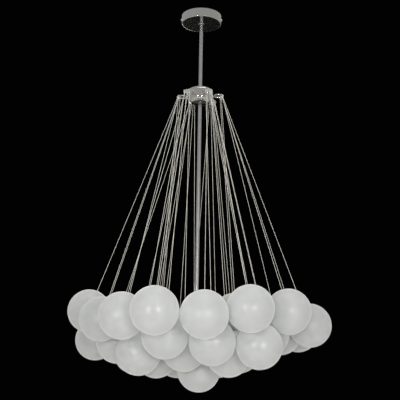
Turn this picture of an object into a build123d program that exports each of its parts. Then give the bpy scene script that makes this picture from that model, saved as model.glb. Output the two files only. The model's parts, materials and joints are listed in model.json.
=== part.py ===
"""A chandelier of frosted glass globes, hung in a bunch on cords from a domed metal hub.

Millimetres, +Z up.  The origin is the middle of the ceiling plane, over the stem.
-Y is the front, the side that the room looks at.
"""
from math import sqrt
import os

from build123d import *

os.makedirs("parts", exist_ok=True)

# Fits and clearances
THREAD_CLEARANCE = 0.05
SLIDING_CLEARANCE = 0.1
SEAT_GAP = 0.3
CUT_OVERRUN = 2.0

# Glass globes, all alike
GLOBE_DIAMETER = 150.0
GLOBE_WALL = 2.0
GLOBE_HOLE_DIAMETER = 4.0
GLOBE_GAP = 0.6

# Cords
CORD_DIAMETER = 1.6
LOOP_GAP = 0.35
KNOT_DIAMETER = 3.4
KNOT_DROP = 5.5
STOP_KNOT_DIAMETER = 6.5

# Ceiling canopy and its collar
CANOPY_DIAMETER = 150.0
CANOPY_HEIGHT = 32.0
CANOPY_WALL = 1.2
CANOPY_EDGE_RADIUS = 3.0
FERRULE_FLANGE_DIAMETER = 20.0
FERRULE_FLANGE_HEIGHT = 2.5
FERRULE_LIP_HEIGHT = 1.0
FERRULE_LIP_WIDTH = 1.2

# Side screws that hold the canopy
SIDE_SCREW_DIAMETER = 4.0
SIDE_SCREW_HEIGHT = 16.0
SIDE_SCREW_INNER_LENGTH = 6.0
SIDE_SCREW_HEAD_DIAMETER = 8.0
SIDE_SCREW_HEAD_HEIGHT = 3.6
SIDE_SLOT_CLEARANCE = 0.4
SCREW_SLOT_WIDTH = 0.8
SCREW_SLOT_DEPTH = 0.9

# Crossbar that screws to the ceiling box
CROSSBAR_WIDTH = 22.0
CROSSBAR_THICKNESS = 2.5
CROSSBAR_TAB_DROP = 22.0
BOX_SCREW_SPACING = 88.9
BOX_SLOT_WIDTH = 5.0
BOX_SLOT_LENGTH = 20.0

# Terminal block and earth screw under the crossbar
TERMINAL_OFFSET = 22.0
TERMINAL_WAY_PITCH = 6.0
TERMINAL_WAYS = 3
TERMINAL_DEPTH = 20.0
TERMINAL_HEIGHT = 13.0
TERMINAL_WIRE_HOLE = 3.2
TERMINAL_WIRE_DROP = 8.0
TERMINAL_SCREW_DIAMETER = 3.0
TERMINAL_SCREW_LENGTH = 3.5
TERMINAL_PEG_DIAMETER = 3.0
EARTH_SCREW_DIAMETER = 4.0
EARTH_SCREW_HEAD_DIAMETER = 8.0
EARTH_SCREW_HEAD_HEIGHT = 2.4

# Hollow stem, its threaded nipples and its coupler
STEM_DIAMETER = 12.7
STEM_LENGTH = 220.5
THREAD_DIAMETER = 9.7
WIRE_WAY_DIAMETER = 6.5
THREAD_GRIP = 15.0
COUPLER_DIAMETER = 11.4
COUPLER_DROP = 33.0
COUPLER_HIDDEN_LENGTH = 2.0
COUPLER_CHAMFER = 0.5
NUT_ACROSS_FLATS = 17.0
NUT_HEIGHT = 4.0

# Domed hub
HUB_DIAMETER = 95.0
HUB_HEIGHT = 61.5
HUB_WALL = 1.5
HUB_EDGE_RADIUS = 23.0
HUB_MOUTH_DIAMETER = 68.0
HUB_BASE_THICKNESS = 2.0
HUB_BASE_RECESS = 8.0
HUB_SPACER_DIAMETER = 18.0
HUB_COLLAR_DIAMETER = 26.0
HUB_COLLAR_HEIGHT = 5.0
HUB_COLLAR_CHAMFER = 1.2
LOWER_COLLAR_DIAMETER = 15.0
LOWER_COLLAR_HEIGHT = 4.5
DOME_FOOT_SHARE = 0.2
DOME_SHOULDER_RADIUS = 12.0

# Six cord rings round the hub
RING_COUNT = 6
RING_FIRST_AZIMUTH = 172.0
RING_ROD_DIAMETER = 5.0
RING_DIAMETER = 36.0
RING_STANDOFF = 3.0
RING_DROP = 38.5
RING_PIN_INNER_LENGTH = 8.0
RING_NUT_ACROSS_FLATS = 8.0
RING_NUT_HEIGHT = 4.0
LOOP_STEP_ANGLE = 20.0

# Lamps in the middle of the bunch
LAMP_COUNT = 3
LAMP_FIRST_AZIMUTH = 110.0
LAMP_BODY_DIAMETER = 36.0
LAMP_BODY_HEIGHT = 30.0
LAMP_BODY_WALL = 2.0
LAMP_RISE_SHARE = 0.9
SOCKET_DIAMETER = 26.0
SOCKET_LENGTH = 32.0
SOCKET_STUB_DIAMETER = 10.0
BULB_DIAMETER = 40.0
BULB_NECK_DIAMETER = 24.0
BULB_REACH = 50.0
BULB_CAP_DIAMETER = 14.0
BULB_CAP_LENGTH = 22.0
BULB_CAP_CHAMFER = 2.5
BULB_CLEARANCE = 0.2
HOOK_ROD_DIAMETER = 2.6
HOOK_RING_DIAMETER = 16.0

# Bunch of globes: CLUSTER_DROP is from the cord rings to the level that the places start from
CLUSTER_DROP = 957.0
CENTRE_GLOBE_SHARES = (0.08, 0.03, -0.33)

# Each ring's cords in order round the ring: the tier that the globe hangs in, then the
# globe's place to the right, to the back and up, as shares of the pitch of two globes that touch
LEFT_RING_SHARES = (
    ("middle", -0.86, 0.66, 0.86),
    ("middle", -2.47, 0.96, 0.35),
    ("lower", -0.92, 0.14, -0.03),
    ("outer", -2.51, -0.14, 0.99),
    ("middle", -1.80, -0.22, 0.29),
    ("outer", -2.10, -1.05, 0.77),
)
FRONT_LEFT_RING_SHARES = (
    ("middle", -1.00, -0.40, 0.94),
    ("lower", -1.25, -1.02, 0.05),
    ("outer", -1.55, -2.08, 0.80),
    ("middle", -0.65, -1.83, 0.41),
    ("outer", -0.83, -2.78, 0.88),
    ("lower", -0.26, -0.80, 0.14),
)
FRONT_RIGHT_RING_SHARES = (
    ("middle", 0.35, -1.83, 0.29),
    ("outer", 0.17, -2.70, 0.82),
    ("outer", 1.12, -2.38, 0.97),
    ("middle", 1.35, -1.71, 0.23),
    ("lower", 0.73, -0.93, 0.04),
    ("middle", 1.60, -0.70, 0.48),
)
RIGHT_RING_SHARES = (
    ("outer", 2.00, -1.52, 0.97),
    ("outer", 2.61, -0.43, 0.73),
    ("middle", 2.01, 0.35, 0.55),
    ("outer", 2.55, 1.20, 0.63),
    ("lower", 1.02, 0.31, 0.11),
    ("middle", 0.92, 0.78, 1.04),
)
BACK_RIGHT_RING_SHARES = (
    ("middle", 1.51, 1.18, 0.28),
    ("outer", 1.79, 1.97, 0.84),
    ("middle", 1.00, 2.05, 0.21),
    ("outer", 0.88, 2.72, 0.95),
    ("lower", 0.53, 1.19, -0.03),
    ("outer", -0.12, 2.78, 0.89),
)
BACK_LEFT_RING_SHARES = (
    ("middle", -0.05, 1.93, 0.35),
    ("lower", -0.46, 1.04, -0.04),
    ("outer", -1.15, 2.47, 0.81),
    ("lower", -0.98, 1.90, -0.03),
    ("outer", -2.07, 1.87, 0.85),
    ("lower", -1.51, 0.95, 0.05),
)

# Rings in order from the left round the front, each with the angle from its own outward
# direction at which its first cord is looped
RINGS = (
    (-50.0, LEFT_RING_SHARES),
    (-50.0, FRONT_LEFT_RING_SHARES),
    (-40.0, FRONT_RIGHT_RING_SHARES),
    (-30.0, RIGHT_RING_SHARES),
    (-40.0, BACK_RIGHT_RING_SHARES),
    (-40.0, BACK_LEFT_RING_SHARES),
)

# Sizes worked out from the ones above
globe_radius = GLOBE_DIAMETER / 2
globe_pitch = GLOBE_DIAMETER + GLOBE_GAP
globe_hole_radius = GLOBE_HOLE_DIAMETER / 2
cord_radius = CORD_DIAMETER / 2
stem_radius = STEM_DIAMETER / 2
thread_radius = THREAD_DIAMETER / 2
thread_bore_radius = thread_radius + THREAD_CLEARANCE
canopy_radius = CANOPY_DIAMETER / 2
canopy_inner_radius = canopy_radius - CANOPY_WALL
hub_radius = HUB_DIAMETER / 2
hub_mouth_radius = HUB_MOUTH_DIAMETER / 2
ring_rod_radius = RING_ROD_DIAMETER / 2
ring_centre_line_radius = RING_DIAMETER / 2 - ring_rod_radius
ring_place_radius = hub_radius + RING_STANDOFF + RING_DIAMETER / 2

# Levels, from the ceiling down
canopy_bottom = -CANOPY_HEIGHT
coupler_top = canopy_bottom + COUPLER_HIDDEN_LENGTH
coupler_bottom = canopy_bottom - COUPLER_DROP
coupler_middle = (coupler_top + coupler_bottom) / 2
hub_top = coupler_bottom - STEM_LENGTH
dome_top = hub_top - HUB_COLLAR_HEIGHT
hub_bottom = dome_top - HUB_HEIGHT
hub_base_bottom = hub_bottom + HUB_BASE_RECESS
hub_base_top = hub_base_bottom + HUB_BASE_THICKNESS
lower_stem_top = hub_base_bottom - LOWER_COLLAR_HEIGHT
ring_level = hub_top - RING_DROP
cluster_level = ring_level - CLUSTER_DROP
lamp_level = cluster_level + LAMP_RISE_SHARE * globe_pitch
lamp_body_top = lamp_level + LAMP_BODY_HEIGHT / 2
lamp_body_bottom = lamp_level - LAMP_BODY_HEIGHT / 2
hook_loop_radius = HOOK_RING_DIAMETER / 2 - HOOK_ROD_DIAMETER / 2
hook_level = lamp_body_bottom - HOOK_RING_DIAMETER / 2 - SEAT_GAP
hook_loop_level = hook_level - hook_loop_radius


def tube(outer_radius, inner_radius, top, bottom):
    """A plain round tube on the stem's axis."""
    with BuildPart(Plane.XY.offset(bottom)) as piece:
        with BuildSketch(Plane.XY.offset(bottom)):
            Circle(outer_radius)
            Circle(inner_radius, mode=Mode.SUBTRACT)
        extrude(amount=top - bottom)
    return piece.part


def direction(azimuth):
    """Unit vector in the ground plane, turned from +X towards +Y."""
    return Vector(1, 0, 0).rotate(Axis.Z, azimuth)


def keep(piece, label):
    """Name a finished piece and write it."""
    piece.label = label
    export_step(piece, f"parts/{label}.step")


def keep_group(pieces, label):
    """Write several like pieces, each a solid of its own, as one node."""
    with BuildPart() as group:
        add(pieces)
    keep(group.part, label)


# Ceiling fixing

tab_reach = sqrt(canopy_inner_radius**2 - (CROSSBAR_WIDTH / 2) ** 2) - 2 * SEAT_GAP
terminal_width = TERMINAL_WAYS * TERMINAL_WAY_PITCH


def build_crossbar():
    """Flat steel strap with slots for the box screws and a turned-down tab at each end."""
    with BuildPart() as crossbar:
        with BuildSketch(Plane.XY.offset(-CROSSBAR_THICKNESS)):
            Rectangle(2 * tab_reach, CROSSBAR_WIDTH)
            with Locations((-BOX_SCREW_SPACING / 2, 0), (BOX_SCREW_SPACING / 2, 0)):
                SlotOverall(BOX_SLOT_LENGTH, BOX_SLOT_WIDTH, mode=Mode.SUBTRACT)
            Circle(thread_bore_radius, mode=Mode.SUBTRACT)
            with Locations((TERMINAL_OFFSET, 0)):
                Circle(TERMINAL_PEG_DIAMETER / 2 + THREAD_CLEARANCE, mode=Mode.SUBTRACT)
            with Locations((-TERMINAL_OFFSET, 0)):
                Circle(EARTH_SCREW_DIAMETER / 2 + THREAD_CLEARANCE, mode=Mode.SUBTRACT)
        extrude(amount=CROSSBAR_THICKNESS)
        for side in (-1, 1):
            with BuildSketch(Plane.YZ.offset(side * tab_reach)):
                with Locations((0, -CROSSBAR_TAB_DROP / 2)):
                    Rectangle(CROSSBAR_WIDTH, CROSSBAR_TAB_DROP)
                with Locations((0, -SIDE_SCREW_HEIGHT)):
                    Circle(SIDE_SCREW_DIAMETER / 2 + THREAD_CLEARANCE, mode=Mode.SUBTRACT)
            extrude(amount=-side * CROSSBAR_THICKNESS)
    keep(crossbar.part, "crossbar")


def build_terminal_block():
    """Moulded three-way block for the wires, on a peg through the crossbar."""
    block_plane = Plane(origin=(TERMINAL_OFFSET, 0, -CROSSBAR_THICKNESS))
    wire_level = -CROSSBAR_THICKNESS - TERMINAL_WIRE_DROP
    ways = GridLocations(TERMINAL_WAY_PITCH, 0, TERMINAL_WAYS, 1)
    with BuildPart() as terminal_block:
        with BuildSketch(block_plane):
            Rectangle(terminal_width, TERMINAL_DEPTH)
        extrude(amount=-TERMINAL_HEIGHT)
        with BuildSketch(block_plane):
            Circle(TERMINAL_PEG_DIAMETER / 2)
        extrude(amount=CROSSBAR_THICKNESS)
        with BuildSketch(Plane.XZ):
            with Locations((TERMINAL_OFFSET, wire_level)):
                with ways:
                    Circle(TERMINAL_WIRE_HOLE / 2)
        extrude(amount=TERMINAL_DEPTH, both=True, mode=Mode.SUBTRACT)
        with BuildSketch(block_plane.offset(-TERMINAL_HEIGHT)):
            with ways:
                Circle(TERMINAL_SCREW_DIAMETER / 2 + THREAD_CLEARANCE)
        extrude(amount=TERMINAL_HEIGHT - TERMINAL_WIRE_DROP, mode=Mode.SUBTRACT)
    keep(terminal_block.part, "terminal_block")


def slotted_screw(head_plane, shank_radius, shank_length, head_radius, head_height):
    """Cheese-head screw with a screwdriver slot; the head stands on the plane, out along its normal."""
    with BuildPart() as screw:
        with BuildSketch(head_plane):
            Circle(head_radius)
        extrude(amount=head_height)
        with BuildSketch(head_plane):
            Circle(shank_radius)
        extrude(amount=-shank_length)
        with BuildSketch(head_plane.offset(head_height)):
            Rectangle(2 * head_radius + CUT_OVERRUN, SCREW_SLOT_WIDTH)
        extrude(amount=-SCREW_SLOT_DEPTH, mode=Mode.SUBTRACT)
    return screw.part


def build_terminal_screws():
    """The block's clamp screws and the earth screw beside it."""
    screws = []
    well_floor = -CROSSBAR_THICKNESS - TERMINAL_HEIGHT + TERMINAL_SCREW_LENGTH
    for way in range(TERMINAL_WAYS):
        across = TERMINAL_OFFSET + (way - (TERMINAL_WAYS - 1) / 2) * TERMINAL_WAY_PITCH
        with BuildPart() as clamp_screw:
            with BuildSketch(Plane((across, 0, well_floor))):
                Circle(TERMINAL_SCREW_DIAMETER / 2)
            extrude(amount=-TERMINAL_SCREW_LENGTH)
            with BuildSketch(Plane((across, 0, well_floor - TERMINAL_SCREW_LENGTH))):
                Rectangle(TERMINAL_SCREW_DIAMETER + CUT_OVERRUN, SCREW_SLOT_WIDTH)
            extrude(amount=SCREW_SLOT_DEPTH, mode=Mode.SUBTRACT)
        screws.append(clamp_screw.part)
    head_plane = Plane(origin=(-TERMINAL_OFFSET, 0, -CROSSBAR_THICKNESS), z_dir=(0, 0, -1))
    screws.append(
        slotted_screw(
            head_plane,
            EARTH_SCREW_DIAMETER / 2,
            CROSSBAR_THICKNESS,
            EARTH_SCREW_HEAD_DIAMETER / 2,
            EARTH_SCREW_HEAD_HEIGHT,
        )
    )
    keep_group(screws, "terminal_screws")


def build_nipple_nuts():
    """Hexagon nuts on the threaded nipples, under the crossbar and inside the lamp body."""
    nuts = []
    for seat in (-CROSSBAR_THICKNESS, lamp_body_top - LAMP_BODY_WALL):
        with BuildPart() as nipple_nut:
            with BuildSketch(Plane.XY.offset(seat)):
                RegularPolygon(NUT_ACROSS_FLATS / 2, 6, major_radius=False)
                Circle(thread_bore_radius, mode=Mode.SUBTRACT)
            extrude(amount=-NUT_HEIGHT)
        nuts.append(nipple_nut.part)
    keep_group(nuts, "nipple_nuts")


# Canopy, which slides down the stem when its side screws are slackened

ferrule_bore_radius = stem_radius + SLIDING_CLEARANCE
ferrule_neck_radius = ferrule_bore_radius + FERRULE_LIP_WIDTH


def build_canopy():
    """Spun cup, open to the ceiling, with two slots that run out at its top edge."""
    slot_width = SIDE_SCREW_DIAMETER + 2 * SIDE_SLOT_CLEARANCE
    with BuildPart() as canopy:
        with BuildSketch(Plane.XY):
            Circle(canopy_radius)
        extrude(amount=canopy_bottom)
        fillet(canopy.faces().sort_by(Axis.Z)[0].edges(), CANOPY_EDGE_RADIUS)
        offset(amount=-CANOPY_WALL, openings=canopy.faces().sort_by(Axis.Z)[-1])
        with BuildSketch(Plane.XY.offset(canopy_bottom)):
            Circle(ferrule_neck_radius + THREAD_CLEARANCE)
        extrude(amount=2 * CANOPY_WALL, mode=Mode.SUBTRACT)
        with BuildSketch(Plane.YZ):
            with Locations((0, -SIDE_SCREW_HEIGHT)):
                Circle(slot_width / 2)
            with Locations((0, -SIDE_SCREW_HEIGHT / 2)):
                Rectangle(slot_width, SIDE_SCREW_HEIGHT)
        extrude(amount=CANOPY_DIAMETER, both=True, mode=Mode.SUBTRACT)
    keep(canopy.part, "canopy")


def build_canopy_ferrule():
    """Collar swaged into the canopy's middle, a sliding fit on the coupler and stem."""
    lip_bottom = canopy_bottom + CANOPY_WALL
    with BuildPart() as canopy_ferrule:
        with BuildSketch(Plane.XY.offset(canopy_bottom)):
            Circle(FERRULE_FLANGE_DIAMETER / 2)
        extrude(amount=-FERRULE_FLANGE_HEIGHT)
        with BuildSketch(Plane.XY.offset(canopy_bottom)):
            Circle(ferrule_neck_radius)
        extrude(amount=CANOPY_WALL)
        with BuildSketch(Plane.XY.offset(lip_bottom)):
            Circle(ferrule_neck_radius + FERRULE_LIP_WIDTH)
        extrude(amount=FERRULE_LIP_HEIGHT)
        chamfer(canopy_ferrule.faces().sort_by(Axis.Z)[0].edges(), COUPLER_CHAMFER)
        with BuildSketch(Plane.XY.offset(lip_bottom + FERRULE_LIP_HEIGHT)):
            Circle(ferrule_bore_radius)
        extrude(
            amount=-FERRULE_LIP_HEIGHT - CANOPY_WALL - FERRULE_FLANGE_HEIGHT, mode=Mode.SUBTRACT
        )
    keep(canopy_ferrule.part, "canopy_ferrule")


def build_canopy_screws():
    """Two knurled screws, through the canopy's slots into the crossbar's tabs."""
    head_seat = canopy_radius + SEAT_GAP / 2
    shank_length = head_seat - tab_reach + SIDE_SCREW_INNER_LENGTH
    screws = []
    for side in (-1, 1):
        head_plane = Plane(
            origin=(side * head_seat, 0, -SIDE_SCREW_HEIGHT), x_dir=(0, 1, 0), z_dir=(side, 0, 0)
        )
        screws.append(
            slotted_screw(
                head_plane,
                SIDE_SCREW_DIAMETER / 2,
                shank_length,
                SIDE_SCREW_HEAD_DIAMETER / 2,
                SIDE_SCREW_HEAD_HEIGHT,
            )
        )
    keep_group(screws, "canopy_screws")


# Stem

def build_stem():
    """Coupler, the two stem tubes and the hollow threaded nipples that join them."""
    with BuildPart() as stem_coupler:
        add(tube(COUPLER_DIAMETER / 2, thread_bore_radius, coupler_top, coupler_bottom))
        ends = stem_coupler.edges().filter_by(GeomType.CIRCLE).filter_by(
            lambda edge: edge.radius > thread_bore_radius
        )
        chamfer(ends, COUPLER_CHAMFER)
    keep(stem_coupler.part, "stem_coupler")
    keep(tube(stem_radius, thread_bore_radius, coupler_bottom, dome_top), "upper_stem")
    keep(tube(stem_radius, thread_bore_radius, lower_stem_top, lamp_body_top), "lower_stem")
    wire_way_radius = WIRE_WAY_DIAMETER / 2
    joints = (
        (0, coupler_middle + SEAT_GAP),
        (coupler_middle - SEAT_GAP, coupler_bottom - THREAD_GRIP),
        (dome_top + THREAD_GRIP, lower_stem_top - THREAD_GRIP),
        (lamp_body_top + THREAD_GRIP, lamp_body_top - LAMP_BODY_WALL - NUT_HEIGHT),
    )
    nipples = [tube(thread_radius, wire_way_radius, top, bottom) for top, bottom in joints]
    keep_group(nipples, "threaded_nipples")


# Hub

def build_hub_shell():
    """Spun dome whose side rolls in to an open mouth below, drilled for the ring pins."""
    collar_edge = Vector(HUB_COLLAR_DIAMETER / 2, dome_top)
    dome_foot = Vector(hub_radius, dome_top - DOME_FOOT_SHARE * HUB_HEIGHT)
    bottom_edge = Vector(hub_radius, hub_bottom)
    with BuildPart() as hub_shell:
        with BuildSketch(Plane.XZ) as half_section:
            with BuildLine():
                top_line = Line((0, dome_top), collar_edge)
                TangentArc(collar_edge, dome_foot, tangent=top_line % 1)
                Polyline(dome_foot, bottom_edge, (0, hub_bottom), (0, dome_top))
            make_face()
            fillet(half_section.vertices().sort_by_distance(dome_foot)[0], DOME_SHOULDER_RADIUS)
            fillet(half_section.vertices().sort_by_distance(bottom_edge)[0], HUB_EDGE_RADIUS)
            offset(amount=-HUB_WALL, mode=Mode.SUBTRACT)
        revolve(axis=Axis.Z)
        with BuildSketch(Plane.XY.offset(dome_top)):
            Circle(thread_bore_radius)
        extrude(amount=-HUB_HEIGHT, mode=Mode.SUBTRACT)
        with BuildSketch(Plane.XY.offset(hub_bottom)):
            Circle(hub_mouth_radius)
        extrude(amount=HUB_EDGE_RADIUS, mode=Mode.SUBTRACT)
        for ring in range(RING_COUNT):
            outward = direction(RING_FIRST_AZIMUTH + ring * 360 / RING_COUNT)
            with BuildSketch(Plane(origin=(0, 0, ring_level), z_dir=outward)):
                Circle(ring_rod_radius + THREAD_CLEARANCE)
            extrude(amount=HUB_DIAMETER, mode=Mode.SUBTRACT)
    keep(hub_shell.part, "hub_shell")


def build_hub_inside():
    """Spacer and recessed base, clamped on the hub's nipple between two collars."""
    keep(
        tube(HUB_SPACER_DIAMETER / 2, thread_bore_radius, dome_top - HUB_WALL, hub_base_top),
        "hub_spacer",
    )
    base_radius = hub_mouth_radius - SEAT_GAP
    keep(tube(base_radius, thread_bore_radius, hub_base_top, hub_base_bottom), "hub_base")
    with BuildPart() as top_collar:
        add(tube(HUB_COLLAR_DIAMETER / 2, stem_radius + THREAD_CLEARANCE, hub_top, dome_top))
        chamfer(
            top_collar.edges().filter_by(GeomType.CIRCLE).sort_by(SortBy.RADIUS)[-2:].sort_by(Axis.Z)[-1],
            HUB_COLLAR_CHAMFER,
        )
    with BuildPart() as lower_collar:
        add(
            tube(LOWER_COLLAR_DIAMETER / 2, thread_bore_radius, hub_base_bottom, lower_stem_top)
        )
        chamfer(
            lower_collar.edges().filter_by(GeomType.CIRCLE).sort_by(SortBy.RADIUS)[-2:].sort_by(Axis.Z)[0],
            HUB_COLLAR_CHAMFER,
        )
    keep_group([top_collar.part, lower_collar.part], "hub_collars")


# Cord rings

def ring_centre(azimuth):
    """Middle of the ring that points out at this azimuth."""
    return direction(azimuth) * ring_place_radius + Vector(0, 0, ring_level)


def build_cord_rings():
    """Rings bent from rod, each with a pin into the hub and a nut inside it."""
    rings = []
    nuts = []
    inner_ring_edge = ring_place_radius - ring_centre_line_radius
    nut_seat = sqrt((hub_radius - HUB_WALL) ** 2 - (RING_NUT_ACROSS_FLATS / 2) ** 2) - SEAT_GAP
    pin_tip = nut_seat - RING_PIN_INNER_LENGTH
    for ring in range(RING_COUNT):
        azimuth = RING_FIRST_AZIMUTH + ring * 360 / RING_COUNT
        outward = direction(azimuth)
        pin_plane = Plane(origin=outward * pin_tip + Vector(0, 0, ring_level), z_dir=outward)
        nut_plane = Plane(origin=outward * nut_seat + Vector(0, 0, ring_level), z_dir=outward)
        with BuildPart() as cord_ring:
            with Locations(Plane(origin=ring_centre(azimuth))):
                Torus(ring_centre_line_radius, ring_rod_radius)
            with BuildSketch(pin_plane):
                Circle(ring_rod_radius)
            extrude(amount=inner_ring_edge - pin_tip)
        with BuildPart() as ring_nut:
            with BuildSketch(nut_plane):
                RegularPolygon(RING_NUT_ACROSS_FLATS / 2, 6, major_radius=False)
                Circle(ring_rod_radius + THREAD_CLEARANCE, mode=Mode.SUBTRACT)
            extrude(amount=-RING_NUT_HEIGHT)
        rings.append(cord_ring.part)
        nuts.append(ring_nut.part)
    keep_group(rings, "cord_rings")
    keep_group(nuts, "ring_nuts")


# Lamps

socket_seat = LAMP_BODY_DIAMETER / 2
socket_mouth = socket_seat + SOCKET_LENGTH


def build_lamp_body():
    """Round metal box under the stem, with a cover that carries the hook."""
    body_radius = LAMP_BODY_DIAMETER / 2
    cover_top = lamp_body_bottom + LAMP_BODY_WALL
    with BuildPart() as lamp_body:
        with BuildSketch(Plane.XY.offset(lamp_body_top)):
            Circle(body_radius)
        extrude(amount=-LAMP_BODY_HEIGHT)
        offset(amount=-LAMP_BODY_WALL, openings=lamp_body.faces().sort_by(Axis.Z)[0])
        with BuildSketch(Plane.XY.offset(lamp_body_top)):
            Circle(thread_bore_radius)
        extrude(amount=-2 * LAMP_BODY_WALL, mode=Mode.SUBTRACT)
        for lamp in range(LAMP_COUNT):
            outward = direction(LAMP_FIRST_AZIMUTH + lamp * 360 / LAMP_COUNT)
            with BuildSketch(Plane(origin=(0, 0, lamp_level), z_dir=outward)):
                Circle(SOCKET_STUB_DIAMETER / 2 + THREAD_CLEARANCE)
            extrude(amount=LAMP_BODY_DIAMETER, mode=Mode.SUBTRACT)
    keep(lamp_body.part, "lamp_body")
    cover_radius = body_radius - LAMP_BODY_WALL - THREAD_CLEARANCE
    keep(
        tube(cover_radius, HOOK_ROD_DIAMETER / 2 + THREAD_CLEARANCE, cover_top, lamp_body_bottom),
        "lamp_cover",
    )
    with BuildPart() as centre_hook:
        with Locations(Plane(origin=(0, 0, hook_level), z_dir=(1, 0, 0))):
            Torus(hook_loop_radius, HOOK_ROD_DIAMETER / 2)
        with BuildSketch(Plane.XY.offset(hook_level + hook_loop_radius)):
            Circle(HOOK_ROD_DIAMETER / 2)
        extrude(amount=cover_top + HOOK_ROD_DIAMETER - hook_level - hook_loop_radius)
        with BuildSketch(Plane.XY.offset(cover_top)):
            Circle(HOOK_ROD_DIAMETER)
        extrude(amount=HOOK_ROD_DIAMETER)
    keep(centre_hook.part, "centre_hook")


def build_lamps():
    """Moulded sockets round the lamp body, each with a small round bulb."""
    sockets = []
    cap_radius = BULB_CAP_DIAMETER / 2
    cap_seat = socket_mouth - BULB_CAP_LENGTH
    neck_radius = BULB_NECK_DIAMETER / 2
    ball_middle = socket_mouth + BULB_REACH - BULB_DIAMETER / 2
    for lamp in range(LAMP_COUNT):
        outward = direction(LAMP_FIRST_AZIMUTH + lamp * 360 / LAMP_COUNT)
        axis_plane = Plane(origin=(0, 0, lamp_level), z_dir=outward)
        with BuildPart() as socket:
            with BuildSketch(axis_plane.offset(socket_seat)):
                Circle(SOCKET_DIAMETER / 2)
            extrude(amount=SOCKET_LENGTH)
            with BuildSketch(axis_plane.offset(socket_seat)):
                Circle(SOCKET_STUB_DIAMETER / 2)
            extrude(amount=-LAMP_BODY_WALL)
            with BuildSketch(axis_plane.offset(socket_mouth)):
                Circle(cap_radius + BULB_CLEARANCE)
            extrude(amount=-BULB_CAP_LENGTH - SEAT_GAP, mode=Mode.SUBTRACT)
        sockets.append(socket.part)
        with BuildPart() as bulb_cap:
            with BuildSketch(axis_plane.offset(cap_seat)):
                Circle(cap_radius)
            extrude(amount=BULB_CAP_LENGTH)
            cap_end = bulb_cap.faces().sort_by(Axis(origin=(0, 0, 0), direction=outward))[0]
            chamfer(cap_end.edges(), BULB_CAP_CHAMFER)
        keep(bulb_cap.part, f"bulb_{lamp + 1}_cap")
        with BuildPart() as bulb_glass:
            with BuildSketch(axis_plane.offset(socket_mouth)):
                Circle(cap_radius)
            with BuildSketch(axis_plane.offset(ball_middle)):
                Circle(neck_radius)
            loft()
            with Locations(axis_plane.offset(ball_middle)):
                Sphere(BULB_DIAMETER / 2)
        keep(bulb_glass.part, f"bulb_{lamp + 1}_glass")
    keep_group(sockets, "lamp_sockets")


# Globes and cords

def globe_centre(shares):
    """Middle of a globe, from its place in shares of the globe pitch."""
    across, back, up = shares
    return Vector(across * globe_pitch, back * globe_pitch, cluster_level + up * globe_pitch)


def build_globe(centre, loop_centre):
    """Blown glass ball with a hole that faces up its cord."""
    with BuildPart() as globe:
        with Locations(Plane(origin=centre, z_dir=loop_centre - centre)):
            Sphere(globe_radius)
            Sphere(globe_radius - GLOBE_WALL, mode=Mode.SUBTRACT)
            with Locations((0, 0, globe_radius)):
                Cylinder(globe_hole_radius, globe_radius, mode=Mode.SUBTRACT)
    return globe.part


def build_cord(centre, loop_centre, rod_direction, rod_radius):
    """Taut cord: a loop round the rod, a knot, a straight run and a stop knot inside the globe."""
    loop_radius = rod_radius + LOOP_GAP + cord_radius
    run_plane = Plane(origin=loop_centre, z_dir=centre - loop_centre)
    reach = (centre - loop_centre).length
    hole_inner_edge = reach - sqrt((globe_radius - GLOBE_WALL) ** 2 - globe_hole_radius**2)
    stop_knot_seat = sqrt((STOP_KNOT_DIAMETER / 2 + SEAT_GAP) ** 2 - globe_hole_radius**2)
    stop_knot = hole_inner_edge + stop_knot_seat
    top_knot = reach - globe_radius - SEAT_GAP - KNOT_DIAMETER / 2
    with BuildPart() as cord:
        with Locations(Plane(origin=loop_centre, z_dir=rod_direction)):
            Torus(loop_radius, cord_radius)
        with BuildSketch(run_plane.offset(loop_radius)):
            Circle(cord_radius)
        extrude(amount=stop_knot - loop_radius)
        with Locations(run_plane.offset(KNOT_DROP)):
            Sphere(KNOT_DIAMETER / 2)
        with Locations(run_plane.offset(KNOT_DROP + KNOT_DIAMETER / 2)):
            Sphere(KNOT_DIAMETER / 2)
        with Locations(run_plane.offset(top_knot)):
            Sphere(KNOT_DIAMETER / 2)
        with Locations(run_plane.offset(stop_knot)):
            Sphere(STOP_KNOT_DIAMETER / 2)
    return cord.part


def build_hung_globes():
    """Every globe on its cord: the outer ones each a node, the others a node for each tier."""
    globes = {"middle": [], "lower": []}
    cords = {"middle": [], "lower": []}
    outer_number = 0
    for ring, (first_loop_angle, places) in enumerate(RINGS):
        azimuth = RING_FIRST_AZIMUTH + ring * 360 / RING_COUNT
        for loop, (tier, *shares) in enumerate(places):
            loop_angle = azimuth + first_loop_angle + loop * LOOP_STEP_ANGLE
            loop_centre = ring_centre(azimuth) + direction(loop_angle) * ring_centre_line_radius
            rod_direction = direction(loop_angle + 90)
            centre = globe_centre(shares)
            globe = build_globe(centre, loop_centre)
            cord = build_cord(centre, loop_centre, rod_direction, ring_rod_radius)
            if tier == "outer":
                outer_number += 1
                keep(globe, f"outer_globe_{outer_number:02d}")
                keep(cord, f"outer_cord_{outer_number:02d}")
            else:
                globes[tier].append(globe)
                cords[tier].append(cord)
    hook_centre = Vector(0, 0, hook_loop_level)
    centre = globe_centre(CENTRE_GLOBE_SHARES)
    keep(build_globe(centre, hook_centre), "centre_globe")
    hook_rod_radius = HOOK_ROD_DIAMETER / 2
    cords["lower"].append(build_cord(centre, hook_centre, Vector(0, 1, 0), hook_rod_radius))
    for tier in globes:
        keep_group(globes[tier], f"{tier}_tier_globes")
        keep_group(cords[tier], f"{tier}_tier_cords")


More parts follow.
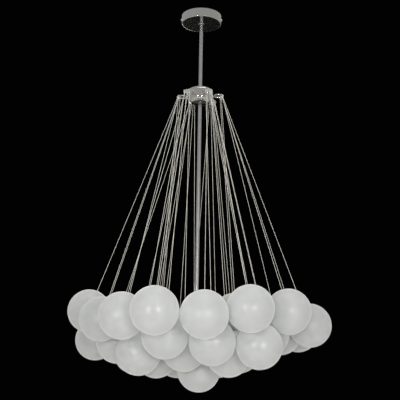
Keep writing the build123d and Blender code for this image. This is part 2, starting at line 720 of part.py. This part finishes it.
build_crossbar()
build_terminal_block()
build_terminal_screws()
build_nipple_nuts()
build_canopy()
build_canopy_ferrule()
build_canopy_screws()
build_stem()
build_hub_shell()
build_hub_inside()
build_cord_rings()
build_lamp_body()
build_lamps()
build_hung_globes()
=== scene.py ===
"""Looks of a chandelier of frosted glass globes on cords.  Metres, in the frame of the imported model."""
import json
import math

import bpy
import numpy as np
from mathutils import Matrix, Vector


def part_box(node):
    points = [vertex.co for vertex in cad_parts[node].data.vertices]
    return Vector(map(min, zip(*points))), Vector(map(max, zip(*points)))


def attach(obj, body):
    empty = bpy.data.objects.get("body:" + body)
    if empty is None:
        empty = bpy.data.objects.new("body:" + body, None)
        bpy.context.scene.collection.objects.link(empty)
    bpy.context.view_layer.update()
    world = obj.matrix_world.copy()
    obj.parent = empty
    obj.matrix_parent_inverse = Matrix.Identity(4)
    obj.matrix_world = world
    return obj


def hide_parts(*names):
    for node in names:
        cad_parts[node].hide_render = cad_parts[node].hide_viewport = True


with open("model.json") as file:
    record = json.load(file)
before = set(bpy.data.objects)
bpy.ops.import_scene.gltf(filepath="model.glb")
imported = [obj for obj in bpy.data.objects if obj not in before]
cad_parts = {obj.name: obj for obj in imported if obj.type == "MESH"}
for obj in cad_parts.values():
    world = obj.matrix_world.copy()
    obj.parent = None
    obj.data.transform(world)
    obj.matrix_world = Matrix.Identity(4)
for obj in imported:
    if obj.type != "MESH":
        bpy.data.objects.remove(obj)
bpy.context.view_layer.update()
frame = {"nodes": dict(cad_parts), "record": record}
scene = bpy.context.scene
MM = 0.001

# Sizes shared with the part's source, in millimetres
GLOBE_DIAMETER = 150.0
GLOBE_WALL = 2.0
GLOBE_HOLE_DIAMETER = 4.0
GLOBE_PITCH = 150.6
CORD_DIAMETER = 1.6
LOOP_GAP = 0.35
KNOT_DIAMETER = 3.4
KNOT_DROP = 5.5
STOP_KNOT_DIAMETER = 6.5
SEAT_GAP = 0.3
RING_LEVEL = -324.0
RING_PLACE_RADIUS = 68.5
RING_CENTRE_LINE_RADIUS = 15.5
RING_ROD_RADIUS = 2.5
RING_FIRST_AZIMUTH = 172.0
LOOP_STEP_ANGLE = 20.0
CLUSTER_LEVEL = -1281.0
HOOK_ROD_RADIUS = 1.3

# How far a lathe or polishing streak runs round the metal before it fades
STREAK_LENGTH = 25.0

# Twist of the cord, two plies laid round each other and pressed slightly together
TWIST_PITCH = 6.4
PLY_RADIUS = CORD_DIAMETER / 4
PLY_SQUEEZE = 1.04
PLY_SIDES = 5
STEPS_PER_TURN = 6

# Knots: how thick their strand is as a share of the knot, and how often it winds round
KNOT_STRAND_SHARE = 0.19
KNOT_TURNS = 2.6
KNOT_STEPS = 26
KNOT_SIDES = 7

# Studio floor and the photograph's camera, in metres and degrees
FLOOR_REACH = 4.4
FLOOR_LEVEL = -2.7
FLOOR_SIDES = 96
GLOBE_LEVEL = (0.0, 0.0, -1.2)
CAMERA_PLACE = (0.00627, -2.725, -1.281)
CAMERA_PITCH = 11.6
CAMERA_LEAN = 1.0
CAMERA_LENS = 68.4
CAMERA_SENSOR = 36.0

# Each ring's cords in order: tier, and the globe's place to the right, back and up in globe pitches
RINGS = (
    (-50.0, (("middle", -0.86, 0.66, 0.86), ("middle", -2.47, 0.96, 0.35), ("lower", -0.92, 0.14, -0.03),
             ("outer", -2.51, -0.14, 0.99), ("middle", -1.80, -0.22, 0.29), ("outer", -2.10, -1.05, 0.77))),
    (-50.0, (("middle", -1.00, -0.40, 0.94), ("lower", -1.25, -1.02, 0.05), ("outer", -1.55, -2.08, 0.80),
             ("middle", -0.65, -1.83, 0.41), ("outer", -0.83, -2.78, 0.88), ("lower", -0.26, -0.80, 0.14))),
    (-40.0, (("middle", 0.35, -1.83, 0.29), ("outer", 0.17, -2.70, 0.82), ("outer", 1.12, -2.38, 0.97),
             ("middle", 1.35, -1.71, 0.23), ("lower", 0.73, -0.93, 0.04), ("middle", 1.60, -0.70, 0.48))),
    (-30.0, (("outer", 2.00, -1.52, 0.97), ("outer", 2.61, -0.43, 0.73), ("middle", 2.01, 0.35, 0.55),
             ("outer", 2.55, 1.20, 0.63), ("lower", 1.02, 0.31, 0.11), ("middle", 0.92, 0.78, 1.04))),
    (-40.0, (("middle", 1.51, 1.18, 0.28), ("outer", 1.79, 1.97, 0.84), ("middle", 1.00, 2.05, 0.21),
             ("outer", 0.88, 2.72, 0.95), ("lower", 0.53, 1.19, -0.03), ("outer", -0.12, 2.78, 0.89))),
    (-40.0, (("middle", -0.05, 1.93, 0.35), ("lower", -0.46, 1.04, -0.04), ("outer", -1.15, 2.47, 0.81),
             ("lower", -0.98, 1.90, -0.03), ("outer", -2.07, 1.87, 0.85), ("lower", -1.51, 0.95, 0.05))),
)
CENTRE_GLOBE = (0.08, 0.03, -0.33)


def linear(hex_colour):
    """Linear red, green, blue and alpha of an sRGB hex colour."""
    shares = [int(hex_colour[i:i + 2], 16) / 255 for i in (1, 3, 5)]
    return [c / 12.92 if c <= 0.04045 else ((c + 0.055) / 1.055) ** 2.4 for c in shares] + [1.0]


def node(tree, kind, settings=None, links=None):
    """Adds a node, sets its properties or inputs by name, and links outputs into its inputs."""
    new = tree.nodes.new(kind)
    for name, value in (settings or {}).items():
        if isinstance(name, int) or name in new.inputs.keys():
            new.inputs[name].default_value = value
        else:
            setattr(new, name, value)
    for name, output in (links or {}).items():
        tree.links.new(output, new.inputs[name])
    return new


def material(name):
    """An empty node material and its output node."""
    made = bpy.data.materials.new(name)
    made.use_nodes = True
    tree = made.node_tree
    tree.nodes.clear()
    return made, tree, tree.nodes.new("ShaderNodeOutputMaterial")


def colour_range(tree, factor, low, high, start=0.3, end=0.7):
    """Colour that runs between two hex colours as a factor goes from start to end."""
    ramp = tree.nodes.new("ShaderNodeValToRGB")
    ramp.color_ramp.elements[0].color, ramp.color_ramp.elements[1].color = linear(low), linear(high)
    ramp.color_ramp.elements[0].position, ramp.color_ramp.elements[1].position = start, end
    tree.links.new(factor, ramp.inputs["Fac"])
    return ramp.outputs["Color"]


def grain(size_mm):
    """Texture scale at which a pattern's marks are as wide as a size in millimetres."""
    return 1 / (size_mm * MM)


def frosted_glass():
    """Blown soda-lime glass, acid-frosted white: milky, satin, a soft highlight and a bright thin rim."""
    made, tree, out = material("frosted_opal_glass")
    place = node(tree, "ShaderNodeTexCoord").outputs["Object"]
    # The blown wall is a little thicker here and there, over a few centimetres
    thickness = node(tree, "ShaderNodeTexNoise", {"Scale": grain(70), "Detail": 2.0}, {"Vector": place})
    # The acid's etch is finer than this; it is drawn 1.1 mm wide so that it shows at all
    etch = node(tree, "ShaderNodeTexNoise", {"Scale": grain(1.1), "Detail": 2.0}, {"Vector": place})
    bump = node(
        tree, "ShaderNodeBump", {"Strength": 0.06, "Distance": 0.0004}, {"Height": etch.outputs["Fac"]}
    )
    shader = node(
        tree, "ShaderNodeBsdfPrincipled",
        {"Roughness": 0.34, "Diffuse Roughness": 1.0, "IOR": 1.52, "Subsurface Weight": 0.9,
         "Subsurface Scale": 0.03, "Subsurface Radius": (1.0, 1.0, 1.0), "Sheen Weight": 0.4,
         "Sheen Roughness": 0.5, "Specular IOR Level": 0.79},
        {"Base Color": colour_range(tree, thickness.outputs["Fac"], "#e1e4e5", "#e8ebec"),
         "Normal": bump.outputs["Normal"]},
    )
    tree.links.new(shader.outputs["BSDF"], out.inputs["Surface"])
    return made


def plated(name, low, high, roughness, streak_mm, streak_strength):
    """Plated or bare metal, spun, turned or rolled: faint streaks run round the axis and dull it unevenly."""
    made, tree, out = material(name)
    place = node(tree, "ShaderNodeTexCoord").outputs["Object"]
    # Streaks are long round the axis and as narrow along it as the tool left them
    squeeze = (1.0, 1.0, STREAK_LENGTH / streak_mm)
    squeezed = node(tree, "ShaderNodeMapping", {"Scale": squeeze}, {"Vector": place})
    streaks = node(
        tree, "ShaderNodeTexNoise", {"Scale": grain(STREAK_LENGTH), "Detail": 4.0},
        {"Vector": squeezed.outputs["Vector"]},
    )
    # The metal's tint drifts over a few centimetres, as handling and cleaning leave it
    cloud = node(tree, "ShaderNodeTexNoise", {"Scale": grain(45), "Detail": 3.0}, {"Vector": place})
    rough = node(
        tree, "ShaderNodeMapRange", {"To Min": roughness * 0.8, "To Max": roughness * 1.25},
        {"Value": streaks.outputs["Fac"]},
    )
    bump = node(
        tree, "ShaderNodeBump", {"Strength": streak_strength, "Distance": 0.0002},
        {"Height": streaks.outputs["Fac"]},
    )
    shader = node(
        tree, "ShaderNodeBsdfPrincipled", {"Metallic": 1.0},
        {"Base Color": colour_range(tree, cloud.outputs["Fac"], low, high),
         "Roughness": rough.outputs["Result"], "Normal": bump.outputs["Normal"]},
    )
    tree.links.new(shader.outputs["BSDF"], out.inputs["Surface"])
    return made


def twisted_cotton():
    """Two-ply cotton cord, unbleached: matt off-white fibres, darker in the lay between the plies."""
    made, tree, out = material("twisted_cotton_cord")
    place = node(tree, "ShaderNodeTexCoord").outputs["Object"]
    # Single fibres are finer than this; they are drawn 0.7 mm wide so that they show
    fibres = node(tree, "ShaderNodeTexNoise", {"Scale": grain(0.7), "Detail": 3.0}, {"Vector": place})
    # The yarn's shade changes every couple of centimetres along the cord
    patches = node(tree, "ShaderNodeTexNoise", {"Scale": grain(17), "Detail": 2.0}, {"Vector": place})
    bump = node(
        tree, "ShaderNodeBump", {"Strength": 0.5, "Distance": 0.0003}, {"Height": fibres.outputs["Fac"]}
    )
    shader = node(
        tree, "ShaderNodeBsdfPrincipled",
        {"Roughness": 0.85, "Sheen Weight": 0.3, "Sheen Roughness": 0.5, "Specular IOR Level": 0.3},
        {"Base Color": colour_range(tree, patches.outputs["Fac"], "#c4c1b9", "#dcd9d1"),
         "Normal": bump.outputs["Normal"]},
    )
    tree.links.new(shader.outputs["BSDF"], out.inputs["Surface"])
    return made


def moulded(name, low, high, roughness):
    """Moulded plastic and opal glass, and the near-black painted shade of the hub's recessed underside, with
    a fine even surface texture.
    """
    made, tree, out = material(name)
    place = node(tree, "ShaderNodeTexCoord").outputs["Object"]
    # Slight waves from the mould, about 3 mm apart
    texture = node(tree, "ShaderNodeTexNoise", {"Scale": grain(3), "Detail": 3.0}, {"Vector": place})
    bump = node(
        tree, "ShaderNodeBump", {"Strength": 0.12, "Distance": 0.0003}, {"Height": texture.outputs["Fac"]}
    )
    shader = node(
        tree, "ShaderNodeBsdfPrincipled", {"Roughness": roughness},
        {"Base Color": colour_range(tree, texture.outputs["Fac"], low, high),
         "Normal": bump.outputs["Normal"]},
    )
    tree.links.new(shader.outputs["BSDF"], out.inputs["Surface"])
    return made


# Each finish: its two shades, its roughness and, for a metal, how wide and deep its streaks are
FINISHES = {
    # Milky and satin, so that the balls glow evenly and show only soft highlights
    "frosted_glass": frosted_glass(),
    # Buffed bright: a clear warm-grey mirror with hardly a mark
    "polished_nickel": plated("polished_nickel", "#c9c7c2", "#d2d0cb", 0.09, 0.8, 0.02),
    # Brushed on the lathe: a broad grey sheen along the stem in place of a mirror
    "satin_nickel": plated("satin_nickel", "#b9b8b5", "#c3c2bf", 0.38, 0.4, 0.06),
    # Bright zinc straight from the bath: bluish, a little cloudy
    "zinc_steel": plated("zinc_plated_steel", "#a9adb0", "#c2c5c6", 0.34, 3.0, 0.08),
    # Turned from bar: yellow, with the tool's fine rings
    "screw_brass": plated("turned_brass", "#b48f4a", "#c9a661", 0.25, 1.2, 0.05),
    # Thin rolled sheet: pale, with strong fine lines round the cap
    "bulb_cap_metal": plated("rolled_aluminium", "#b9babb", "#c7c8c8", 0.25, 0.3, 0.15),
    # Painted shade: near black, smooth, half gloss, so that the hub's recessed underside is as dark as the
    # shade under the hub
    "dark_enamel": moulded("near_black_painted_shade", "#222120", "#2b2a29", 0.38),
    # Hard cream plastic, slightly glossy
    "moulded_block": moulded("moulded_urea", "#dcd8cc", "#e4e0d5", 0.45),
    # Hard off-white plastic, a touch glossier
    "moulded_socket": moulded("moulded_phenolic", "#d8d5cb", "#e0ddd4", 0.4),
    # Smooth white glass, the glossiest of the pale parts
    "bulb_glass": moulded("opal_bulb_glass", "#e4e3df", "#ebeae6", 0.22),
    # Matt twisted yarn
    "twisted_cord": twisted_cotton(),
}

slot_of = {entry["node"]: entry["material_slot"] for entry in frame["record"]["subparts"]}
for name, piece in frame["nodes"].items():
    piece.data.materials.clear()
    piece.data.materials.append(FINISHES[slot_of[name]])


def direction(azimuth):
    """Unit vector in the ground plane, turned from +X towards +Y."""
    return np.array((math.cos(math.radians(azimuth)), math.sin(math.radians(azimuth)), 0.0))


class Mesh:
    """Points and faces of one piece, gathered from its tubes."""

    def __init__(self):
        self.points, self.faces, self.count = [], [], 0

    def tube(self, line, radius, sides, closed=False):
        """Round tube along a line of points, closed into a ring or capped at both ends."""
        line = np.asarray(line, float)
        ahead = np.roll(line, -1, 0) - np.roll(line, 1, 0)
        if not closed:
            ahead[0], ahead[-1] = line[1] - line[0], line[-1] - line[-2]
        ahead /= np.linalg.norm(ahead, axis=1)[:, None]
        across = np.zeros_like(line)
        start = np.cross(ahead[0], (0.0, 0.0, 1.0) if abs(ahead[0][2]) < 0.9 else (1.0, 0.0, 0.0))
        across[0] = start / np.linalg.norm(start)
        for i in range(1, len(line)):
            turned = across[i - 1] - ahead[i] * (across[i - 1] @ ahead[i])
            across[i] = turned / np.linalg.norm(turned)
        up = np.cross(ahead, across)
        turns = np.arange(sides) * 2 * math.pi / sides
        ring = across[:, None] * np.cos(turns)[None, :, None] + up[:, None] * np.sin(turns)[None, :, None]
        radius = np.broadcast_to(radius, len(line))
        self.points.append((line[:, None] + ring * radius[:, None, None]).reshape(-1, 3))
        last = len(line) if closed else len(line) - 1
        for i in range(last):
            here, there = self.count + i * sides, self.count + ((i + 1) % len(line)) * sides
            for k in range(sides):
                after = (k + 1) % sides
                self.faces.append((here + k, here + after, there + after, there + k))
        if not closed:
            self.faces.append(tuple(self.count + k for k in reversed(range(sides))))
            self.faces.append(tuple(self.count + last * sides + k for k in range(sides)))
        self.count += len(line) * sides

    def make(self, name):
        """The finished object, smooth shaded, in metres."""
        data = bpy.data.meshes.new(name)
        data.from_pydata((np.concatenate(self.points) * MM).tolist(), [], self.faces)
        data.polygons.foreach_set("use_smooth", [True] * len(data.polygons))
        made = bpy.data.objects.new(name, data)
        scene.collection.objects.link(made)
        return made


def frame_of(axis, beside):
    """Two unit vectors square to an axis, the first as near beside as it can be."""
    first = beside - axis * (beside @ axis)
    first /= np.linalg.norm(first)
    return first, np.cross(axis, first)


def straight_plies(mesh, start, end, beside):
    """Two plies laid round each other along a straight run."""
    axis = end - start
    length = np.linalg.norm(axis)
    axis /= length
    first, second = frame_of(axis, beside)
    along = np.linspace(0, length, int(length / TWIST_PITCH * STEPS_PER_TURN) + 1)
    for turn in (0, math.pi):
        angle = along * 2 * math.pi / TWIST_PITCH + turn
        line = start + axis * along[:, None] + PLY_RADIUS * (
            first * np.cos(angle)[:, None] + second * np.sin(angle)[:, None]
        )
        mesh.tube(line, PLY_RADIUS * PLY_SQUEEZE, PLY_SIDES)


def looped_plies(mesh, centre, rod, down, radius):
    """Two plies laid round each other along a loop round a rod."""
    side = np.cross(rod, down)
    steps = int(2 * math.pi * radius / TWIST_PITCH * STEPS_PER_TURN) * 2
    turns = round(2 * math.pi * radius / TWIST_PITCH)
    angle = np.arange(steps) * 2 * math.pi / steps
    outward = down * np.cos(angle)[:, None] + side * np.sin(angle)[:, None]
    for turn in (0, math.pi):
        lay = angle * turns + turn
        line = (
            centre
            + outward * (radius + PLY_RADIUS * np.cos(lay))[:, None]
            + rod * (PLY_RADIUS * np.sin(lay))[:, None]
        )
        mesh.tube(line, PLY_RADIUS * PLY_SQUEEZE, PLY_SIDES, closed=True)


def knot(mesh, middle, axis, beside, diameter, height):
    """Overhand knot pulled tight: a strand that winds round the cord and tucks under itself."""
    first, second = frame_of(axis, beside)
    strand = diameter * KNOT_STRAND_SHARE
    share = np.linspace(0, 1, KNOT_STEPS)
    angle = share * KNOT_TURNS * 2 * math.pi
    reach = (diameter / 2 - strand) * (0.55 + 0.45 * np.sin(share * math.pi) ** 0.5)
    rise = (share - 0.5) * (height - 2 * strand)
    line = middle + axis * rise[:, None] + first * (reach * np.cos(angle))[:, None] + second * (
        reach * np.sin(angle)
    )[:, None]
    mesh.tube(line, strand, KNOT_SIDES)


def cord(mesh, loop_centre, rod, rod_radius, globe_centre):
    """One cord: the loop round its rod, the knot below it, the taut run and its knots at the globe."""
    run = globe_centre - loop_centre
    reach = np.linalg.norm(run)
    down = run / reach
    loop_radius = rod_radius + LOOP_GAP + CORD_DIAMETER / 2
    hole_radius = GLOBE_HOLE_DIAMETER / 2
    inner_edge = reach - math.sqrt((GLOBE_DIAMETER / 2 - GLOBE_WALL) ** 2 - hole_radius ** 2)
    stop = inner_edge + math.sqrt((STOP_KNOT_DIAMETER / 2 + SEAT_GAP) ** 2 - hole_radius ** 2)
    top_knot = reach - GLOBE_DIAMETER / 2 - SEAT_GAP - KNOT_DIAMETER / 2
    loop_down = down - rod * (down @ rod)
    loop_down /= np.linalg.norm(loop_down)
    looped_plies(mesh, loop_centre, rod, loop_down, loop_radius)
    straight_plies(mesh, loop_centre + down * loop_radius, loop_centre + down * stop, rod)
    lump = KNOT_DROP + KNOT_DIAMETER / 4
    knot(mesh, loop_centre + down * lump, down, rod, KNOT_DIAMETER, KNOT_DIAMETER * 1.5)
    knot(mesh, loop_centre + down * top_knot, down, rod, KNOT_DIAMETER, KNOT_DIAMETER)
    knot(mesh, loop_centre + down * stop, down, rod, STOP_KNOT_DIAMETER, STOP_KNOT_DIAMETER)


def finish_cord(mesh, name, cad_node, body):
    """Makes a cord piece that stands for its CAD node and rides on its body."""
    piece = mesh.make(name)
    piece.data.materials.append(FINISHES["twisted_cord"])
    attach(piece, body)
    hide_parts(cad_node)


def globe_place(across, back, up):
    """Middle of a globe from its place in globe pitches."""
    return np.array((across, back, up)) * GLOBE_PITCH + np.array((0.0, 0.0, CLUSTER_LEVEL))


def make_cords():
    """Every cord, in the nodes and bodies that its CAD solid has."""
    tiers = {"middle": Mesh(), "lower": Mesh()}
    outer_number = 0
    for ring, (first_angle, places) in enumerate(RINGS):
        azimuth = RING_FIRST_AZIMUTH + ring * 360 / len(RINGS)
        middle = direction(azimuth) * RING_PLACE_RADIUS + np.array((0.0, 0.0, RING_LEVEL))
        for loop, (tier, *place) in enumerate(places):
            angle = azimuth + first_angle + loop * LOOP_STEP_ANGLE
            loop_centre = middle + direction(angle) * RING_CENTRE_LINE_RADIUS
            globe = globe_place(*place)
            if tier == "outer":
                outer_number += 1
                mesh = Mesh()
                cord(mesh, loop_centre, direction(angle + 90), RING_ROD_RADIUS, globe)
                finish_cord(
                    mesh, f"outer_twisted_cord_{outer_number:02d}", f"outer_cord_{outer_number:02d}",
                    f"hung_globe_{outer_number:02d}",
                )
            else:
                cord(tiers[tier], loop_centre, direction(angle + 90), RING_ROD_RADIUS, globe)
    hook_low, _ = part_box("centre_hook")
    hook = np.array((0.0, 0.0, hook_low.z / MM + HOOK_ROD_RADIUS))
    cord(tiers["lower"], hook, np.array((0.0, 1.0, 0.0)), HOOK_ROD_RADIUS, globe_place(*CENTRE_GLOBE))
    for tier, mesh in tiers.items():
        finish_cord(mesh, f"{tier}_tier_twisted_cords", f"{tier}_tier_cords", "frame")


def span(tree, value, low, high):
    """Share from 0 to 1 as a value runs from low to high."""
    limits = {"From Min": low, "From Max": high}
    return node(tree, "ShaderNodeMapRange", limits, {"Value": value}).outputs["Result"]


def lamp(name, place, size, power, aim, tall=None):
    """A soft rectangular lamp that faces a point."""
    light = bpy.data.lights.new(name, "AREA")
    light.size, light.energy, light.color = size, power, linear("#fffefb")[:3]
    if tall:
        light.shape, light.size_y = "RECTANGLE", tall
    holder = bpy.data.objects.new(name, light)
    holder.location = place
    holder.visible_camera = False
    holder.rotation_euler = (Vector(aim) - Vector(place)).to_track_quat("-Z", "Y").to_euler()
    scene.collection.objects.link(holder)
    return holder


def floor():
    """Plain pale round floor, matt painted board, well below the globes."""
    made, tree, out = material("pale_floor")
    shader = node(tree, "ShaderNodeBsdfPrincipled", {"Base Color": linear("#d6d5d2"), "Roughness": 0.9})
    tree.links.new(shader.outputs["BSDF"], out.inputs["Surface"])
    data = bpy.data.meshes.new("floor")
    turns = [i * 2 * math.pi / FLOOR_SIDES for i in range(FLOOR_SIDES)]
    edge = [(FLOOR_REACH * math.cos(t), FLOOR_REACH * math.sin(t), FLOOR_LEVEL) for t in turns]
    data.from_pydata(edge, [], [tuple(range(FLOOR_SIDES))])
    data.materials.append(made)
    board = bpy.data.objects.new("floor", data)
    scene.collection.objects.link(board)


def surroundings():
    """An even pale light all round, a dark backdrop, and a studio that polished metal mirrors."""
    world = bpy.data.worlds.new("studio")
    scene.world = world
    world.use_nodes = True
    tree = world.node_tree
    tree.nodes.clear()
    path = node(tree, "ShaderNodeLightPath").outputs
    light = node(tree, "ShaderNodeBackground", {"Color": linear("#cbccca"), "Strength": 1.0})

    # What metal mirrors grows lighter upwards and towards the left and right walls
    towards = node(tree, "ShaderNodeTexCoord").outputs["Generated"]
    either_side = node(tree, "ShaderNodeVectorMath", {"operation": "ABSOLUTE"}, {0: towards}).outputs[0]
    sideways = node(
        tree, "ShaderNodeVectorMath", {"operation": "DOT_PRODUCT", 1: (0.8, 0.0, 0.0)}, {0: either_side}
    )
    upward = node(
        tree, "ShaderNodeVectorMath", {"operation": "DOT_PRODUCT", 1: (0.0, -0.25, 1.0)}, {0: towards}
    )
    level = node(
        tree, "ShaderNodeMath", {"operation": "ADD"},
        {0: sideways.outputs["Value"], 1: upward.outputs["Value"]},
    )
    walls = colour_range(tree, span(tree, level.outputs[0], -0.4, 0.25), "#151516", "#a8a9ab", 0.0, 1.0)
    mirrored = node(tree, "ShaderNodeBackground", {"Strength": 1.0}, {"Color": walls})
    backdrop = node(tree, "ShaderNodeBackground", {"Color": linear("#020202"), "Strength": 1.0})
    glossy = node(tree, "ShaderNodeMixShader")
    tree.links.new(path["Is Glossy Ray"], glossy.inputs[0])
    tree.links.new(light.outputs[0], glossy.inputs[1])
    tree.links.new(mirrored.outputs[0], glossy.inputs[2])
    mix = node(tree, "ShaderNodeMixShader")
    tree.links.new(path["Is Camera Ray"], mix.inputs[0])
    tree.links.new(glossy.outputs[0], mix.inputs[1])
    tree.links.new(backdrop.outputs[0], mix.inputs[2])
    out = node(tree, "ShaderNodeOutputWorld")
    tree.links.new(mix.outputs[0], out.inputs["Surface"])


def lamps():
    """Two small lamps beside the camera for the globes' highlights, and broad weak ones all round."""
    lamp("key", (0.88, -2.75, -1.12), 0.22, 15.0, GLOBE_LEVEL)
    lamp("fill", (-1.1, -2.7, -1.12), 0.24, 12.5, GLOBE_LEVEL)
    front = lamp("front", (-0.05, -2.6, -1.25), 0.6, 33.0, GLOBE_LEVEL, tall=0.6)
    front.visible_glossy = False
    lamp("top", (0.3, -0.4, 1.6), 1.6, 12.0, GLOBE_LEVEL)
    lamp("back", (-0.6, 3.2, -0.6), 1.2, 8.0, GLOBE_LEVEL)


def camera():
    """Camera at the photograph's place: level with the globes, tipped up, with a slight lean."""
    data = bpy.data.cameras.new("camera")
    data.lens, data.sensor_width = CAMERA_LENS, CAMERA_SENSOR
    data.clip_start, data.clip_end = 0.05, 100.0
    view = bpy.data.objects.new("camera", data)
    pitch, lean = math.radians(CAMERA_PITCH), math.radians(CAMERA_LEAN)
    right = Vector((1.0, 0.0, 0.0))
    up = Vector((0.0, -math.sin(pitch), math.cos(pitch)))
    ahead = Vector((0.0, math.cos(pitch), math.sin(pitch)))
    leaned_right = right * math.cos(lean) + up * math.sin(lean)
    leaned_up = up * math.cos(lean) - right * math.sin(lean)
    turned = Matrix((leaned_right, leaned_up, -ahead)).transposed()
    view.matrix_world = Matrix.Translation(CAMERA_PLACE) @ turned.to_4x4()
    scene.collection.objects.link(view)
    scene.camera = view


make_cords()
floor()
surroundings()
lamps()
camera()
scene.view_settings.view_transform = "Standard"
